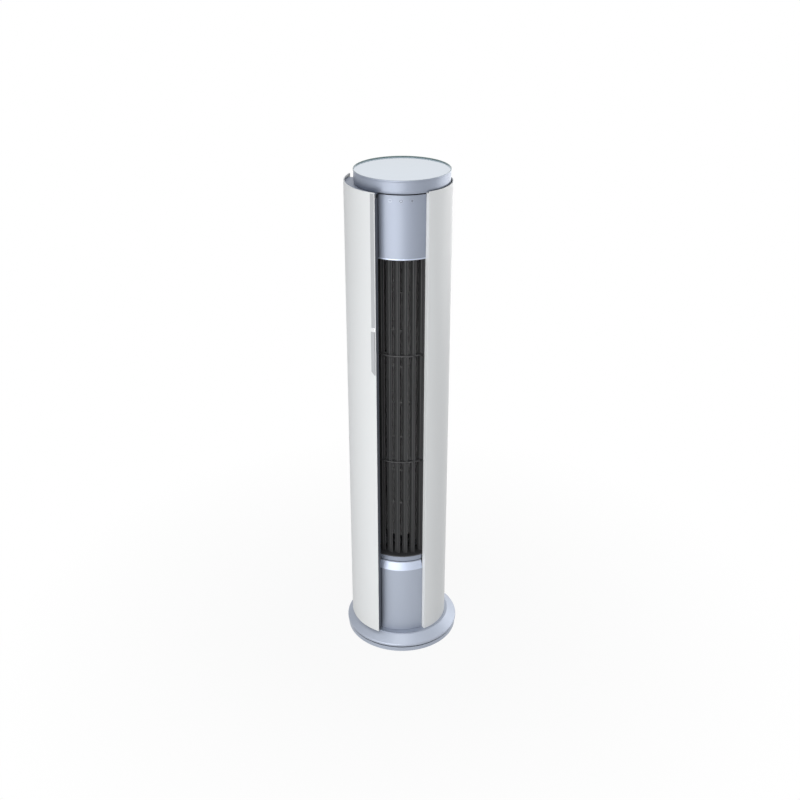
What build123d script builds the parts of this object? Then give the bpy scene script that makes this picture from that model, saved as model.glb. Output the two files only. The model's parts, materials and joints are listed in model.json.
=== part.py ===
"""Floor standing air conditioner: a round column with one door that turns round the body to bare the air outlet.

Millimetres, +Z up, origin on the floor at the column's axis. The outlet faces -Y.
Angles are in degrees round the axis, 0 at the front and growing towards +X.
"""

from build123d import *
import math
import os

# ---------------------------------------------------------------- driving sizes: heights
FOOT_H = 4.0
TRAY_FLOOR = 4.0
TRAY_H = 16.0
BASE_GROOVE_H = 6.0
BASE_RIM_H = 8.0
BASE_CONE_H = 24.0
LOWER_PANEL_H = 263.0
BEVEL_H = 34.0
SILL_H = 24.0
OUTLET_H = 1118.0
CROSS_BAR_SHARES = (0.339, 0.696)
UPPER_PANEL_H = 206.5
HANDLE_SHARE = 0.65
HANDLE_H = 154.0
HANDLE_CAP_H = 16.0
DECK_T = 6.0
COVER_H = 37.5
GLASS_T = 6.0

# ---------------------------------------------------------------- driving sizes: radii and walls
BODY_R = 162.0
BASE_FLARE = 43.0
DOOR_GAP = 21.0
WALL = 3.0
DOOR_WALL = 4.0
SHEET = 2.5

# ---------------------------------------------------------------- driving sizes: angles
OPENING_A = 32.0
DOOR_FRONT_A = -25.5
DOOR_BACK_A = -112.0
ARM_FRONT_A = -29.0
ARM_BACK_A = -108.0
TRACK_A = (-118.0, 41.0)
REAR_HALF_A = 55.0

# ---------------------------------------------------------------- clearances
RUNNING = 0.08
SEAT = 0.3
SEAM = 1.0

# ---------------------------------------------------------------- radii that follow
BASE_R = BODY_R + BASE_FLARE
TRAY_R = BASE_R - 3
GROOVE_R = BASE_R - 7
BASE_SHOULDER_R = BODY_R + 10
BASE_HOLE_R = BODY_R - 23
DOOR_R = BODY_R + DOOR_GAP + DOOR_WALL
COVER_R = BODY_R - 7
GLASS_R = COVER_R + 1
FRONT_R = BODY_R - 15
SILL_R = FRONT_R - 6
RETURN_R = FRONT_R - WALL
OPENING_HALF_W = RETURN_R * math.sin(math.radians(OPENING_A))

# ---------------------------------------------------------------- heights that follow
TRAY_BOTTOM = FOOT_H
TRAY_TOP = TRAY_BOTTOM + TRAY_H
RIM_BOTTOM = TRAY_TOP + BASE_GROOVE_H
RIM_TOP = RIM_BOTTOM + BASE_RIM_H
BASE_TOP_Z = RIM_TOP + BASE_CONE_H
LOWER_PANEL_TOP_Z = BASE_TOP_Z + LOWER_PANEL_H
BEVEL_TOP = LOWER_PANEL_TOP_Z + BEVEL_H
OUTLET_BOTTOM = BEVEL_TOP + SILL_H
OUTLET_TOP = OUTLET_BOTTOM + OUTLET_H
FRAME_TOP = OUTLET_TOP
CROSS_BAR_Z = tuple(OUTLET_BOTTOM + share * OUTLET_H for share in CROSS_BAR_SHARES)
FRONT_PANEL_TOP = FRAME_TOP + UPPER_PANEL_H
DECK_TOP = FRONT_PANEL_TOP - SEAM
DECK_Z = DECK_TOP - DECK_T
LEFT_PANEL_TOP = DECK_TOP
ARM_Z = FRONT_PANEL_TOP + SEAM
ARM_T = 3.0
COVER_BOTTOM_Z = ARM_Z + ARM_T + SEAM
COVER_TOP = COVER_BOTTOM_Z + COVER_H
SHELL_TOP_Z = COVER_BOTTOM_Z + 5
DOOR_TOP_Z = SHELL_TOP_Z + 3
DOOR_BOTTOM_Z = BASE_TOP_Z + 8
HANDLE_BOTTOM = OUTLET_BOTTOM + HANDLE_SHARE * OUTLET_H
HANDLE_TOP = HANDLE_BOTTOM + HANDLE_H
HANDLE_CAP_TOP = HANDLE_TOP + HANDLE_CAP_H
BULKHEAD_Z = FRAME_TOP
PAN_Z = OUTLET_BOTTOM - 8
SHELF_T = 3.0
GRILLE_Z = (BASE_TOP_Z + 365, SHELL_TOP_Z - 80)

# ---------------------------------------------------------------- vanes
VANE_COUNT = 6
VANE_SIDE_GAP = 11.3
VANE_PITCH = 2 * (OPENING_HALF_W - VANE_SIDE_GAP) / (VANE_COUNT - 1)
VANE_PIVOT_R = FRONT_R - 25
VANE_CHORD = VANE_PITCH - 2
VANE_T = 1.8
VANE_ROD_R = 2.5
VANE_REST_A = 50.0
CRANK = 12.0
CRANK_PIN_R = 1.5
DRIVEN_VANE = 3
PLATE_T = 4.0
CHEEK_T = 1.5
BAR_HALF = 2.0
BAR_GAP = 2.0
BAR_REACH = 6.0
BAR_END_X = OPENING_HALF_W + 0.2

# ---------------------------------------------------------------- fan, door drive and keys
FAN_Y = 22.0
FAN_R = 56.0
FAN_SHAFT_R = 6.0
FAN_BLADES = 32
FAN_RINGS = 9
FAN_LOW = OUTLET_BOTTOM + 23
FAN_HIGH = OUTLET_TOP - 16
MOTOR_LOW = OUTLET_BOTTOM - 87
MOTOR_H = 62.0
POST_X = BODY_R - 30
POST_SIZE = (10.0, 24.0)
GEAR_MODULE = 1.5
GEAR_TEETH = 80
PINION_TEETH = 12
PINION_A = 141.5
GEAR_SPAN_A = (66.5, 156.5)
KEY_R = 6.5
KEY_TRAVEL = 0.8
KEY_PITCH = 34.0
KEY_Z = DECK_Z - 10.5


# ---------------------------------------------------------------- helpers
def at(radius, angle):
    """The plan point at a radius and an angle from the front."""
    a = math.radians(angle)
    return (radius * math.sin(a), -radius * math.cos(a))


def arc_of(length, radius):
    """The angle that a length takes up at a radius."""
    return math.degrees(length / radius)


def turned(outline, start=-180.0, end=180.0):
    """Turns an outline of (radius, height) points round the axis from one angle to another."""
    face = Plane.XZ * make_face(Polyline(*outline, close=True))
    return Rot(0, 0, start - 90) * revolve(face, Axis.Z, end - start)


def sector(r_in, r_out, start, end, low, high):
    return turned([(r_in, low), (r_out, low), (r_out, high), (r_in, high)], start, end)


def rod(radius, low, high, x=0.0, y=0.0):
    return Pos(x, y, low) * extrude(Circle(radius), high - low)


def tube(r_in, r_out, low, high, x=0.0, y=0.0):
    return Pos(x, y, low) * extrude(Circle(r_out) - Circle(r_in), high - low)


def block(x0, x1, y0, y1, low, high):
    """A box between two corners."""
    size = (x1 - x0, y1 - y0, high - low)
    return Pos((x0 + x1) / 2, (y0 + y1) / 2, (low + high) / 2) * Box(*size)


def radial_rod(radius, r0, r1, angle, height):
    """A round bar that points out from the axis, between two radii."""
    x, y = at(r0, angle)
    out = Vector(*at(1, angle), 0)
    return Plane(origin=(x, y, height), z_dir=out) * extrude(Circle(radius), r1 - r0)


def bar_along_y(radius, x, z, y0, y1):
    return Plane(origin=(x, y0, z), z_dir=(0, 1, 0)) * extrude(Circle(radius), y1 - y0)


def gear_profile(teeth, module, backlash=0.12):
    """A flat spur gear outline with straight-sided teeth."""
    pitch_r = teeth * module / 2
    tip_r = pitch_r + 0.9 * module
    root_r = pitch_r - 1.1 * module
    step = 360 / teeth
    half_pitch = step / 4 - math.degrees(backlash / 2 / pitch_r)
    half_tip = half_pitch * 0.5
    half_root = half_pitch * 1.45
    points = []
    for i in range(teeth):
        centre = i * step
        for radius, offset in (
            (root_r, -half_root),
            (tip_r, -half_tip),
            (tip_r, half_tip),
            (root_r, half_root),
        ):
            a = math.radians(centre + offset)
            points.append((radius * math.cos(a), radius * math.sin(a)))
    return make_face(Polyline(*points, close=True))


def vane_pivot(index):
    """The plan point of a vane's pivot, on an arc behind the outlet."""
    x = (index - (VANE_COUNT - 1) / 2) * VANE_PITCH
    return (x, -math.sqrt(VANE_PIVOT_R**2 - x**2))


def crank_offset():
    """From a vane's pivot to its crank pin, behind the pivot in line with the blade."""
    a = math.radians(VANE_REST_A)
    return (-CRANK * math.sin(a), CRANK * math.cos(a))


# ---------------------------------------------------------------- base
FOOT_R = 18.0
FOOT_PLACE_R = TRAY_R - 34
ANCHOR_R = 5.5
ANCHOR_PLACE_R = BODY_R - 42
QUARTERS = (45, 135, 225, 315)


def rubber_feet():
    return [rod(FOOT_R, 0, FOOT_H, *at(FOOT_PLACE_R, a)) for a in QUARTERS]


def base_tray():
    floor_top = TRAY_BOTTOM + TRAY_FLOOR
    rim_in = TRAY_R - 6
    tray = turned(
        [
            (0, TRAY_BOTTOM),
            (TRAY_R, TRAY_BOTTOM),
            (TRAY_R, TRAY_TOP),
            (rim_in, TRAY_TOP),
            (rim_in, floor_top),
            (0, floor_top),
        ]
    )
    for a in QUARTERS:
        tray -= rod(ANCHOR_R, TRAY_BOTTOM - 1, floor_top + 1, *at(ANCHOR_PLACE_R, a))
    return tray


def base_cover():
    """The silver skirt: a recessed neck, a rim and a cone up to the flat that carries the panels."""
    outline = make_face(
        Polyline(
            (GROOVE_R, TRAY_TOP),
            (GROOVE_R, RIM_BOTTOM),
            (BASE_R, RIM_BOTTOM),
            (BASE_R, RIM_TOP),
            (BASE_SHOULDER_R, BASE_TOP_Z),
            (BASE_HOLE_R, BASE_TOP_Z),
            (BASE_HOLE_R, BASE_TOP_Z - WALL),
            (BASE_SHOULDER_R - WALL / 2, BASE_TOP_Z - WALL),
            (GROOVE_R - WALL, RIM_TOP),
            (GROOVE_R - WALL, TRAY_TOP),
            close=True,
        )
    )
    corner = outline.vertices().sort_by_distance((BASE_R, RIM_TOP, 0))[0]
    outline = fillet(corner, 3.0)
    return revolve(Plane.XZ * outline, Axis.Z) + door_track()


def door_track():
    """The lip that keeps the door's shoes beside the body."""
    high = BASE_TOP_Z + 3
    return sector(BASE_SHOULDER_R - 2, BASE_SHOULDER_R, *TRACK_A, BASE_TOP_Z - 0.5, high)


def inner_frame():
    """Two posts from the tray to the deck, with a shelf between them for the fan's motor."""
    low, high = TRAY_BOTTOM + TRAY_FLOOR, DECK_Z
    w, d = POST_SIZE
    y = -4.0
    inner = POST_X - w / 2
    frame = block(-inner - 1, inner + 1, y - d / 2, 72, MOTOR_LOW - 4, MOTOR_LOW)
    for x, pipe_y, r in pipe_places():
        frame -= rod(r + 2, MOTOR_LOW - 5, MOTOR_LOW + 1, x, pipe_y)
    for x in (-POST_X, POST_X):
        frame += block(x - w / 2, x + w / 2, y - d / 2, y + d / 2, low, high)
    return frame


# ---------------------------------------------------------------- body panels
def side_panel(side, top):
    """A white side panel with a return along its front edge; side is 1 on the right and -1 on the left.

    The return stops below the cap, which stands inside the panel's top.
    """
    lip = arc_of(WALL, BODY_R)
    back = 180 - REAR_HALF_A - arc_of(SEAM, BODY_R) / 2
    spans = sorted((side * OPENING_A, side * back))
    lips = sorted((side * OPENING_A, side * (OPENING_A + lip)))
    skin = sector(BODY_R - WALL, BODY_R, *spans, BASE_TOP_Z, top)
    return_top = min(top, COVER_BOTTOM_Z - SEAT)
    edge = sector(RETURN_R, BODY_R - WALL / 2, *lips, BASE_TOP_Z, return_top)
    return skin + edge


def rear_span():
    gap = arc_of(SEAM, BODY_R) / 2
    return (180 - REAR_HALF_A + gap, 180 + REAR_HALF_A - gap)


PIPE_Z = BASE_TOP_Z + 132
PIPE_HOLE_R = 30.0
PIPE_BORE_R = 24.0
DRAIN_Z = BASE_TOP_Z + 62
DRAIN_HOSE_R = 8.0
GLAND_X = -60.0
GLAND_R = 9.0
SCREW_R = 1.9
SCREW_HEAD_R = 4.0
SCREW_HEIGHTS = (BASE_TOP_Z + 32, GRILLE_Z[0] - 28, GRILLE_Z[1] + 25)
SCREW_PLACES = [
    (180 + side * (REAR_HALF_A - 5), z) for side in (-1, 1) for z in SCREW_HEIGHTS
]


def screw_holes():
    return [
        radial_rod(SCREW_R + RUNNING, BODY_R - 12, BODY_R + 2, a, z)
        for a, z in SCREW_PLACES
    ]


def rear_lower_panel():
    start, end = rear_span()
    top = GRILLE_Z[0] - SEAM
    through = (BODY_R - 32, BODY_R + 18)
    panel = sector(BODY_R - WALL, BODY_R, start, end, BASE_TOP_Z, top)
    panel -= bar_along_y(PIPE_HOLE_R, 0, PIPE_Z, *through)
    panel -= bar_along_y(DRAIN_HOSE_R + SEAT, DRAIN_X, DRAIN_Z, *through)
    panel -= bar_along_y(GLAND_R, GLAND_X, DRAIN_Z, *through)
    return panel - screw_holes()


def rear_upper_panel():
    start, end = rear_span()
    panel = sector(BODY_R - WALL, BODY_R, start, end, GRILLE_Z[1] + SEAM, SHELL_TOP_Z)
    return panel - screw_holes()


def panel_screws():
    found = []
    for a, z in SCREW_PLACES:
        shank = radial_rod(SCREW_R, BODY_R - 10, BODY_R + 0.5, a, z)
        found.append(shank + radial_rod(SCREW_HEAD_R, BODY_R, BODY_R + 2, a, z))
    return found


def pipe_grommet():
    y0, y1 = BODY_R - 12, BODY_R + 6
    ring = bar_along_y(PIPE_HOLE_R, 0, PIPE_Z, y0, y1)
    return ring - bar_along_y(PIPE_BORE_R, 0, PIPE_Z, y0 - 1, y1 + 1)


def cable_gland():
    """The gland for a supply lead that isn't part of this object."""
    y0, y1 = BODY_R - 24, BODY_R + 4
    ring = bar_along_y(GLAND_R, GLAND_X, DRAIN_Z, y0, y1)
    return ring - bar_along_y(GLAND_R - 3.5, GLAND_X, DRAIN_Z, y0 - 1, y1 + 1)


# ---------------------------------------------------------------- rear grille and filter
LOUVRE_H = 10.0
LOUVRE_PITCH = 24.0
RIB_A = 3.0
RIB_COLUMNS = 3
FILTER_R = BODY_R - WALL
FILTER_T = 5.0
FILTER_MESH_T = 1.0


def intake_grille():
    """Level louvres between two upright edges, with narrower ribs set back behind them."""
    start, end = rear_span()
    low, high = GRILLE_Z
    band = 22.0
    r_in = BODY_R - WALL
    grille = sector(r_in, BODY_R, start, start + RIB_A, low, high)
    grille += sector(r_in, BODY_R, end - RIB_A, end, low, high)
    inner = (start + RIB_A - 0.1, end - RIB_A + 0.1)
    grille += sector(r_in + 0.2, BODY_R - 0.2, *inner, low, low + band)
    grille += sector(r_in + 0.2, BODY_R - 0.2, *inner, high - band, high)
    room = high - low - 2 * band
    count = int(room // LOUVRE_PITCH)
    pitch = (room + LOUVRE_H) / (count + 1)
    for i in range(count):
        z = low + band - LOUVRE_H + (i + 1) * pitch
        grille += sector(r_in + 0.4, BODY_R - 0.4, *inner, z, z + LOUVRE_H)
    width = (end - start - RIB_A) / RIB_COLUMNS
    for i in range(1, RIB_COLUMNS):
        a = start + i * width
        grille += sector(r_in + 0.6, BODY_R - 1.2, a, a + RIB_A, low + band / 2, high - band / 2)
    return grille


def air_filter_frame():
    """The filter's frame, clipped to the inside of the grille: edges, a middle rib and three rungs."""
    start, end = rear_span()
    start, end = start + 2, end - 2
    low, high = GRILLE_Z[0] + 6, GRILLE_Z[1] - 6
    rib = 8.0
    side = arc_of(rib, FILTER_R)
    back, front = FILTER_R - FILTER_T, FILTER_R
    frame = sector(back, front, start, start + side, low, high)
    frame += sector(back, front, end - side, end, low, high)
    inner = (start + side - 0.1, end - side + 0.1)
    frame += sector(back, front - 0.3, *inner, low, low + rib)
    frame += sector(back, front - 0.3, *inner, high - rib, high)
    middle = (start + end) / 2
    frame += sector(back + 0.3, front - 0.6, middle - side / 2, middle + side / 2, low + 4, high - 4)
    for share in (0.25, 0.5, 0.75):
        z = low + share * (high - low)
        frame += sector(back + 0.6, front - 0.9, *inner, z - rib / 2, z + rib / 2)
    return frame


def air_filter_mesh():
    start, end = rear_span()
    inset = 2 + arc_of(2.0, FILTER_R)
    back = FILTER_R - FILTER_T
    return sector(
        back - FILTER_MESH_T,
        back,
        start + inset,
        end - inset,
        GRILLE_Z[0] + 8,
        GRILLE_Z[1] - 8,
    )


# ---------------------------------------------------------------- front panels and outlet
FRONT_HALF_A = OPENING_A - 0.3
KEY_HOLE_R = KEY_R + 0.3


def key_angle(index):
    return math.degrees(math.asin((index - 1) * KEY_PITCH / FRONT_R))


def upper_front_panel():
    """The silver panel above the outlet, with holes for three keys."""
    panel = sector(
        FRONT_R - WALL, FRONT_R, -FRONT_HALF_A, FRONT_HALF_A, FRAME_TOP, FRONT_PANEL_TOP
    )
    for i in range(3):
        panel -= radial_rod(KEY_HOLE_R, FRONT_R - 10, FRONT_R + 5, key_angle(i), KEY_Z)
    return panel


def key(index):
    a = key_angle(index)
    cap = radial_rod(KEY_R, FRONT_R - 9, FRONT_R + 0.2, a, KEY_Z)
    return cap + radial_rod(KEY_R + 1.5, FRONT_R - 9, FRONT_R - WALL - 0.5, a, KEY_Z)


BOARD_Y = 21 - FRONT_R
BOARD_T = 1.6


def display_board():
    """The circuit board behind the upper front panel, with a switch behind each key."""
    board = block(-52, 52, BOARD_Y - BOARD_T, BOARD_Y, FRAME_TOP + 120, DECK_Z)
    for i in range(3):
        x, y = at(FRONT_R - 9 - KEY_TRAVEL - SEAT, key_angle(i))
        back = y + 1.2
        board += block(x - 3, x + 3, back, BOARD_Y - BOARD_T, KEY_Z - 3, KEY_Z + 3)
    return board


def lower_front_panel():
    """The silver panel under the outlet, with a bevel round its top."""
    inner = FRONT_R - WALL
    top_r = SILL_R - 1
    return turned(
        [
            (inner, BASE_TOP_Z),
            (FRONT_R, BASE_TOP_Z),
            (FRONT_R, LOWER_PANEL_TOP_Z),
            (top_r, BEVEL_TOP - WALL),
            (top_r, BEVEL_TOP),
            (top_r - 12, BEVEL_TOP),
            (top_r - 12, BEVEL_TOP - WALL),
            (top_r - WALL, BEVEL_TOP - WALL),
            (inner, LOWER_PANEL_TOP_Z),
        ],
        -FRONT_HALF_A,
        FRONT_HALF_A,
    )


def outlet_sill():
    """The silver lip under the outlet, over a shadow gap."""
    neck = 4.0
    inner = SILL_R - 12
    return turned(
        [
            (inner, BEVEL_TOP),
            (SILL_R - 6, BEVEL_TOP),
            (SILL_R - 6, BEVEL_TOP + neck),
            (SILL_R, BEVEL_TOP + neck),
            (SILL_R, OUTLET_BOTTOM),
            (inner, OUTLET_BOTTOM),
        ],
        -FRONT_HALF_A,
        FRONT_HALF_A,
    )


CHEEK_BACK = (OPENING_HALF_W + 3.7, 52 - VANE_PIVOT_R)
BUSH_R = 4.5


def outlet_frame():
    """Top and bottom plates, two cheeks and two cross bars that carry the vanes."""
    plate = Polyline(
        at(RETURN_R - 0.3, -OPENING_A),
        (-CHEEK_BACK[0], CHEEK_BACK[1]),
        CHEEK_BACK,
        at(RETURN_R - 0.3, OPENING_A),
    )
    front = ThreePointArc(plate @ 1, (0, -RETURN_R + 0.3), plate @ 0)
    face = make_face([*plate.edges(), front])
    low_plate = Pos(0, 0, OUTLET_BOTTOM) * extrude(face, PLATE_T)
    high_plate = Pos(0, 0, OUTLET_TOP - PLATE_T) * extrude(face, PLATE_T)
    frame = low_plate + high_plate
    front_x, front_y = at(RETURN_R - 0.3, OPENING_A)
    for side in (-1, 1):
        cheek = make_face(
            Polyline(
                (side * front_x, front_y),
                (side * (front_x - CHEEK_T), front_y - 0.8),
                (side * (CHEEK_BACK[0] - CHEEK_T), CHEEK_BACK[1]),
                (side * CHEEK_BACK[0], CHEEK_BACK[1]),
                close=True,
            )
        )
        frame += Pos(0, 0, OUTLET_BOTTOM) * extrude(cheek, OUTLET_H)
    for z in CROSS_BAR_Z:
        r = VANE_PIVOT_R
        bar = sector(r - BAR_REACH, r + BAR_REACH, -45, 45, z - BAR_HALF, z + BAR_HALF)
        frame += bar & block(-BAR_END_X, BAR_END_X, -BODY_R, 0, z - 5, z + 5)
    for i in range(VANE_COUNT):
        x, y = vane_pivot(i)
        frame -= rod(BUSH_R, OUTLET_BOTTOM - 1, OUTLET_BOTTOM + PLATE_T + 1, x, y)
        frame -= rod(BUSH_R, OUTLET_TOP - PLATE_T - 1, OUTLET_TOP + 1, x, y)
        frame -= rod(VANE_ROD_R + RUNNING, CROSS_BAR_Z[0] - 5, CROSS_BAR_Z[1] + 5, x, y)
    return frame + vane_motor_bridge()


def vane_bushes():
    found = []
    for i in range(VANE_COUNT):
        x, y = vane_pivot(i)
        for low in (OUTLET_BOTTOM, OUTLET_TOP - PLATE_T):
            found.append(tube(VANE_ROD_R + RUNNING, BUSH_R, low, low + PLATE_T, x, y))
    return found


CRANK_Z = FRAME_TOP + 3.0
CRANK_T = 4.0
LINK_Z = CRANK_Z + CRANK_T + 1.0
LINK_T = 3.0
LINK_HALF = 3.2
MOTOR_SEAT_Z = FRAME_TOP + 17.0


def vane(index):
    """A blade in three lengths on one rod, with a crank and pin on top."""
    x, y = vane_pivot(index)
    turn = Rot(0, 0, VANE_REST_A)
    blade = turn * (Rot(0, 0, 90) * SlotOverall(VANE_CHORD, VANE_T)) + Circle(VANE_ROD_R)
    low, high = OUTLET_BOTTOM + PLATE_T + 2, OUTLET_TOP - PLATE_T - 2
    breaks = [low]
    for z in CROSS_BAR_Z:
        breaks += [z - BAR_HALF - BAR_GAP, z + BAR_HALF + BAR_GAP]
    breaks.append(high)
    shaft_top = MOTOR_SEAT_Z + 8 if index == DRIVEN_VANE else CRANK_Z + CRANK_T
    body = rod(VANE_ROD_R, OUTLET_BOTTOM, shaft_top)
    for z0, z1 in zip(breaks[::2], breaks[1::2]):
        body += Pos(0, 0, z0) * extrude(blade, z1 - z0)
    dx, dy = crank_offset()
    arm = Pos(dx / 2, dy / 2) * (turn * (Rot(0, 0, 90) * SlotCenterToCenter(CRANK, 7)))
    body += Pos(0, 0, CRANK_Z) * extrude(arm, CRANK_T)
    body += rod(CRANK_PIN_R, CRANK_Z, LINK_Z + LINK_T + 2, dx, dy)
    return Pos(x, y) * body


def vane_link():
    """The bar that makes the vanes turn together; only the driven vane's hole fits its pin closely."""
    dx, dy = crank_offset()
    end_x = (VANE_COUNT - 1) / 2 * VANE_PITCH
    end_a = math.degrees(math.asin(end_x / VANE_PIVOT_R)) + 3
    r = VANE_PIVOT_R
    bar = sector(r - LINK_HALF, r + LINK_HALF, -end_a, end_a, LINK_Z, LINK_Z + LINK_T)
    for i in range(VANE_COUNT):
        x, y = vane_pivot(i)
        hole = CRANK_PIN_R + (RUNNING if i == DRIVEN_VANE else 0.4)
        bar -= rod(hole, LINK_Z - 1, LINK_Z + LINK_T + 1, x, y)
    return Pos(dx, dy) * bar


def vane_motor():
    x, y = vane_pivot(DRIVEN_VANE)
    low = MOTOR_SEAT_Z + 3
    body = rod(14, low, low + 19, x, y)
    ears = block(x - 21, x + 21, y - 4, y + 4, low, low + 1.5)
    return body + ears - rod(VANE_ROD_R + RUNNING, low - 1, MOTOR_SEAT_Z + 9, x, y)


def vane_motor_bridge():
    """The frame's bridge over the link, which carries the motor by its ears."""
    x, y = vane_pivot(DRIVEN_VANE)
    x0, x1 = x - 23, x + 23
    front, back = y - 16, y + 42
    bridge = block(x0, x1, front, back, MOTOR_SEAT_Z, MOTOR_SEAT_Z + 3)
    bridge += block(x0, x1, front, front + 3, FRAME_TOP, MOTOR_SEAT_Z)
    bridge += block(x0, x1, back - 3, back, FRAME_TOP, MOTOR_SEAT_Z)
    return bridge - rod(6, FRAME_TOP, MOTOR_SEAT_Z + 5, x, y)


# ---------------------------------------------------------------- air path
def duct_wall(side):
    """The scroll on the left, and the tongue on the right, between the fan and the outlet."""
    low, high = PAN_Z, BULKHEAD_Z
    start_x, start_y = CHEEK_BACK[0] - 2, CHEEK_BACK[1] + 2
    if side < 0:
        line = ThreePointArc((-start_x, start_y), (-FAN_R - 20, FAN_Y - 22), (6 - FAN_R, FAN_Y + 40))
    else:
        line = Polyline((start_x, start_y), (FAN_R + 14, FAN_Y - 62), (FAN_R - 6, FAN_Y - 34))
    return Pos(0, 0, low) * extrude(trace(line, SHEET), high - low)


def fan_impeller():
    """A crossflow drum: blades between flat rings, with a hub in each end ring."""
    ring_t = 3.0
    step = (FAN_HIGH - FAN_LOW - ring_t) / (FAN_RINGS - 1)
    blades = Sketch() + [
        Rot(0, 0, i * 360 / FAN_BLADES) * (Pos(FAN_R - 6) * (Rot(0, 0, 28) * Rectangle(11, 1.2)))
        for i in range(FAN_BLADES)
    ]
    drum = Pos(0, 0, FAN_LOW + 1) * extrude(blades, FAN_HIGH - FAN_LOW - 2)
    rings = []
    for i in range(FAN_RINGS):
        z = FAN_LOW + i * step
        end = i in (0, FAN_RINGS - 1)
        rings.append(tube(FAN_SHAFT_R if end else FAN_R - 11, FAN_R - 1, z, z + ring_t))
    return Pos(0, FAN_Y) * (drum + rings)


def fan_shaft():
    return rod(FAN_SHAFT_R, MOTOR_LOW + 6, FRAME_TOP - 2, 0, FAN_Y)


def fan_motor():
    body = rod(46, MOTOR_LOW, MOTOR_LOW + MOTOR_H - 10, 0, FAN_Y)
    body += rod(18, MOTOR_LOW, MOTOR_LOW + MOTOR_H, 0, FAN_Y)
    bore = rod(FAN_SHAFT_R + RUNNING, MOTOR_LOW + 5, MOTOR_LOW + MOTOR_H + 1, 0, FAN_Y)
    return body - bore


def fan_bearing():
    return tube(FAN_SHAFT_R + RUNNING, 16, FRAME_TOP - 9, FRAME_TOP, 0, FAN_Y)


EVAP_R = (BODY_R - 50, BODY_R - 22)
EVAP_A = (104.0, 256.0)
EVAP_TOP = FRAME_TOP - 24
BEND_R = 7.0
BEND_WIRE_R = 3.5
BEND_COUNT = 14
BEND_STEP_A = 10.4
BEND_ROWS = ((EVAP_R[0] + 7, 109.0), (EVAP_R[1] - 7, 113.0))
PIPE_PLACE_R = EVAP_R[0] - 16
PIPE_A = 120.0
GAS_R = 8.0
LIQUID_R = 4.8
DRAIN_CLEAR = 7.14
DRAIN_X = PIPE_PLACE_R * math.sin(math.radians(PIPE_A)) - GAS_R - DRAIN_HOSE_R - DRAIN_CLEAR
DRAIN_PAN_Y = math.sqrt(((EVAP_R[0] + EVAP_R[1]) / 2) ** 2 - DRAIN_X**2)
SPIGOT_R = 7.5
SPIGOT_L = 20.0
SPIGOT_Y = BODY_R - 5


def evaporator_fins():
    return sector(*EVAP_R, *EVAP_A, PAN_Z + 3, EVAP_TOP)


def evaporator_bends():
    """The copper return bends on top of the fins, in two staggered rows."""
    found = []
    for r, start in BEND_ROWS:
        for i in range(BEND_COUNT):
            a = start + i * BEND_STEP_A
            middle = Vector(*at(r, a), EVAP_TOP)
            run = Vector(*at(BEND_R, a + 90), 0)
            foot = Plane(origin=middle + run, x_dir=run, z_dir=(0, 0, 1))
            path = ThreePointArc(middle + run, middle + Vector(0, 0, BEND_R), middle - run)
            found.append(sweep(foot * Circle(BEND_WIRE_R), path))
    return found


def drain_pan():
    """A trough under the fins."""
    wall = 2.5
    r_in, r_out = EVAP_R[0] - 6, EVAP_R[1] + 3
    start, end = EVAP_A[0] - 2, EVAP_A[1] + 2
    top = PAN_Z + 19
    pan = sector(r_in, r_out, start, end, PAN_Z, top)
    cap = arc_of(wall, r_out)
    pan -= sector(r_in + wall, r_out - wall, start + cap, end - cap, PAN_Z + 3, top + 1)
    return pan - rod(DRAIN_HOSE_R - 2, PAN_Z - 1, PAN_Z + 5, DRAIN_X, DRAIN_PAN_Y)


def drain_hose():
    """From the pan's outlet down and out through the rear panel."""
    bend, low_z = 20.0, DRAIN_Z
    corner_y = DRAIN_PAN_Y + bend
    down = Line((DRAIN_X, DRAIN_PAN_Y, PAN_Z - SHELF_T), (DRAIN_X, DRAIN_PAN_Y, low_z + bend))
    middle = Vector(
        DRAIN_X,
        corner_y - bend * math.cos(math.pi / 4),
        low_z + bend - bend * math.sin(math.pi / 4),
    )
    turn = ThreePointArc(down @ 1, middle, (DRAIN_X, corner_y, low_z))
    out = Line(turn @ 1, (DRAIN_X, SPIGOT_Y, low_z))
    path = Wire([*down.edges(), *turn.edges(), *out.edges()])
    foot = Plane(origin=down @ 0, z_dir=(0, 0, -1))
    hose = sweep(foot * (Circle(DRAIN_HOSE_R) - Circle(DRAIN_HOSE_R - 2)), path)
    return hose + drain_spigot()


def drain_spigot():
    """The hose's stiff end, which a garden hose pushes over."""
    end = SPIGOT_Y + SPIGOT_L
    ring = bar_along_y(SPIGOT_R, DRAIN_X, DRAIN_Z, SPIGOT_Y, end)
    return ring - bar_along_y(SPIGOT_R - 2, DRAIN_X, DRAIN_Z, SPIGOT_Y, end + 1)


def shelf_outline(front, holes):
    """A shelf that spans the posts and fills the round body behind them."""
    inner = POST_X - POST_SIZE[0] / 2
    back = Circle(EVAP_R[1] + 2) & (Pos(0, 12 + BODY_R / 2) * Rectangle(4 * BODY_R, BODY_R))
    middle = Pos(0, (front + 14) / 2) * Rectangle(2 * inner, 14 - front)
    face = back + middle
    for x, y, r in holes:
        face -= Pos(x, y) * Circle(r)
    return face


def pipe_places():
    x, y = at(PIPE_PLACE_R, PIPE_A)
    return ((x, y, GAS_R), (-x, y, LIQUID_R))


def pan_shelf():
    holes = [(0, FAN_Y, 30), (DRAIN_X, DRAIN_PAN_Y, DRAIN_HOSE_R - 2)]
    holes += [(x, y, r + SEAT) for x, y, r in pipe_places()]
    face = shelf_outline(-40, holes)
    return Pos(0, 0, PAN_Z - SHELF_T) * extrude(face, SHELF_T)


def top_bulkhead():
    face = shelf_outline(-76, [(0, FAN_Y, FAN_SHAFT_R + 2)])
    return Pos(0, 0, BULKHEAD_Z) * extrude(face, SHELF_T)


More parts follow.
